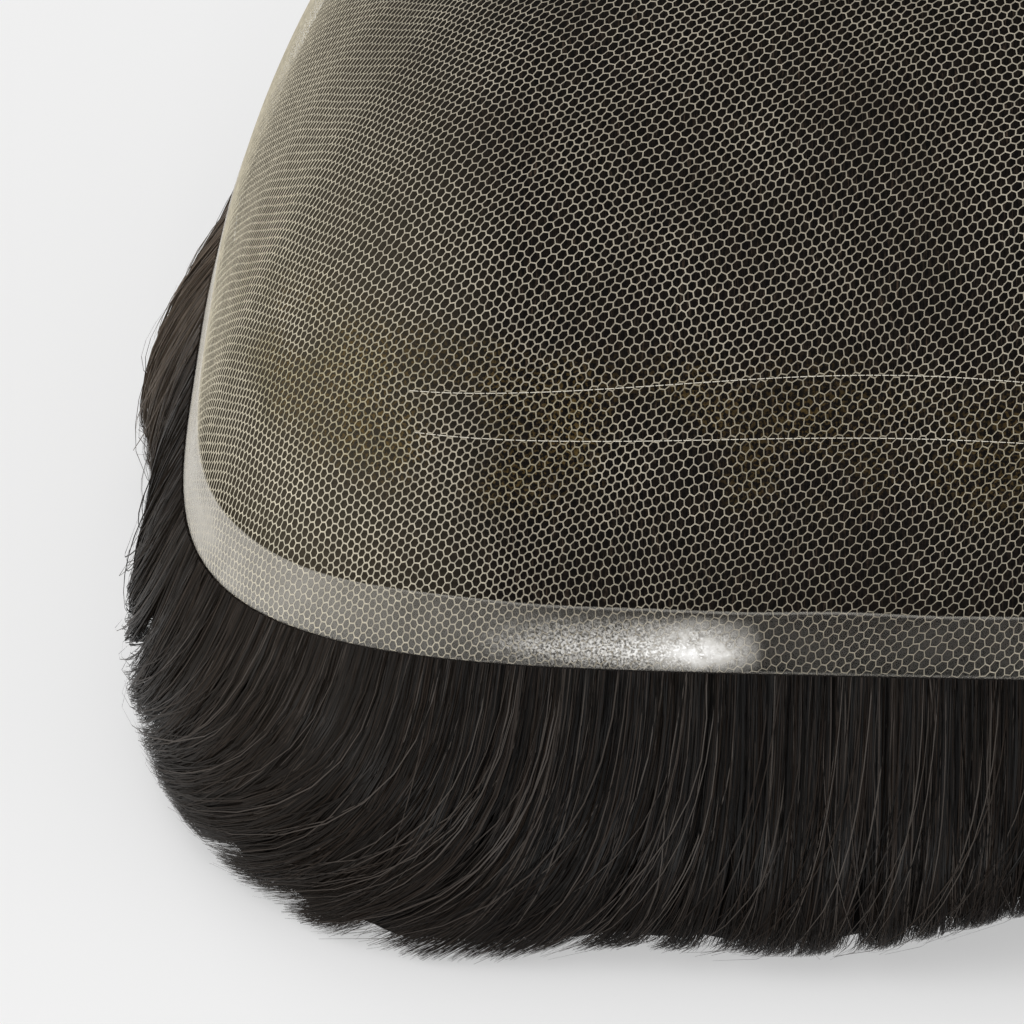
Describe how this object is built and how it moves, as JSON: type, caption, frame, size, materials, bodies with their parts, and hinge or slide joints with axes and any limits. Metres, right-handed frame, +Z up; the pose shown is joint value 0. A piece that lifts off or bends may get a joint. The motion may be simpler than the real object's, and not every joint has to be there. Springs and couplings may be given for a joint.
{
  "type": "toupee hairpiece",
  "caption": "Full lace toupee turned inside out: a domed hexagonal net with a clear strip round its edge, lying on its own dark hair.",
  "frame": {"origin": "on the floor, under the middle of the whole piece", "axes": "+Z up out of the crown, -Y toward the front edge, +X to the right as seen from the front"},
  "size_m": [0.1568, 0.1988, 0.093],
  "materials": {
    "lace": "fine hexagonal net, grey beige",
    "poly_strip": "milky clear film, glossy",
    "hair": "soft shine, off black"
  },
  "bodies": {
    "root": {"lace_base": "lace", "perimeter_strip": "poly_strip", "crown_hair": "hair", "front_hair": "hair", "left_side_hair": "hair", "back_hair": "hair", "right_side_hair": "hair"}
  },
  "joints": []
}
